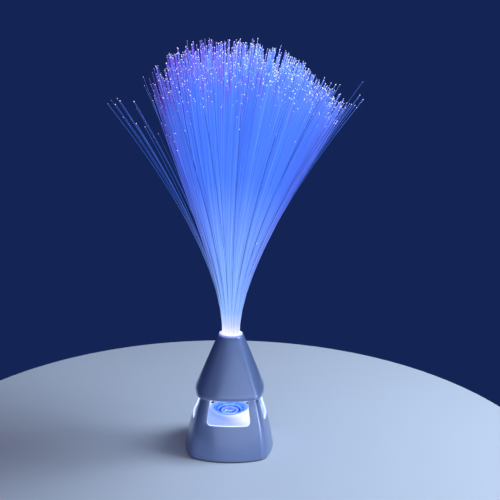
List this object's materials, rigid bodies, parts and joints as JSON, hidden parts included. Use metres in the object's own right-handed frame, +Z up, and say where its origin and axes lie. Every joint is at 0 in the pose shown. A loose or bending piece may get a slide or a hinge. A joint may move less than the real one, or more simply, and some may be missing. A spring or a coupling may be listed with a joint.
{
  "type": "fiber optic lamp",
  "caption": "Battery table lamp with a windowed square base, a tapered hood and a fan of thin light-carrying strands rising from its top.",
  "frame": {"origin": "centre of the foot, on the plane that the rubber feet stand on", "axes": "+Z up along the strand bundle, -Y towards the front, +X to the right seen from the front"},
  "size_m": [0.2086, 0.2082, 0.3559],
  "materials": {
    "silver_plastic": "silver-grey moulded plastic with a fine metallic fleck, satin gloss",
    "grey_plastic": "plain moulded plastic, matt",
    "black_plastic": "black moulded plastic, matt",
    "white_plastic": "white moulded plastic that scatters light",
    "milky_plastic": "milky plastic that glows with the bundle's light",
    "clear_plastic": "clear moulded plastic, polished",
    "strand": "clear light-carrying plastic strand with a bright cut tip",
    "rubber": "soft black rubber",
    "steel": "nickel-plated steel",
    "dark_steel": "blackened steel",
    "cell": "plain printed sleeve over a steel can, no lettering",
    "board": "white-masked circuit board",
    "led_red": "tinted clear LED lens",
    "led_green": "tinted clear LED lens",
    "led_blue": "tinted clear LED lens",
    "lead_red": "red insulated lead",
    "lead_black": "black insulated lead"
  },
  "bodies": {
    "base": {"base_shell": "silver_plastic", "hood_shell": "silver_plastic", "base_plate": "grey_plastic", "battery_front": "cell", "battery_middle": "cell", "battery_rear": "cell", "contact_plates": "steel", "contact_springs": "steel", "base_screws": "steel", "tray_screws": "dark_steel", "board_screws": "steel", "hood_screws": "dark_steel", "switch_body": "steel", "rubber_foot_front_left": "rubber", "rubber_foot_front_right": "rubber", "rubber_foot_rear_left": "rubber", "rubber_foot_rear_right": "rubber", "reflector_tray": "white_plastic", "light_funnel": "white_plastic", "crystal_lens": "clear_plastic", "bundle_ferrule": "milky_plastic", "led_board": "board", "led_red": "led_red", "led_green": "led_green", "led_blue": "led_blue", "controller_chip": "black_plastic", "resistors": "black_plastic", "battery_lead_red": "lead_red", "battery_lead_black": "lead_black", "switch_leads": "lead_black", "fibre_strands": "strand"},
    "battery_door": {"battery_door": "grey_plastic"},
    "door_screw": {"door_screw": "steel"},
    "switch_knob": {"switch_knob": "black_plastic"}
  },
  "joints": [
    {"name": "battery_hinge", "type": "hinge", "parent": "base", "child": "battery_door", "pos_m": [-0.02885, 0, 0.0008], "axis": [0, 1, 0], "range_deg": [0, 70]},
    {"name": "door_screw_turn", "type": "hinge", "parent": "battery_door", "child": "door_screw", "pos_m": [0.03115, 0, 0.0015], "axis": [0, 0, 1], "continuous": true},
    {"name": "power_switch", "type": "slide", "parent": "base", "child": "switch_knob", "axis": [1, 0, 0], "range_m": [0, 0.004]}
  ]
}
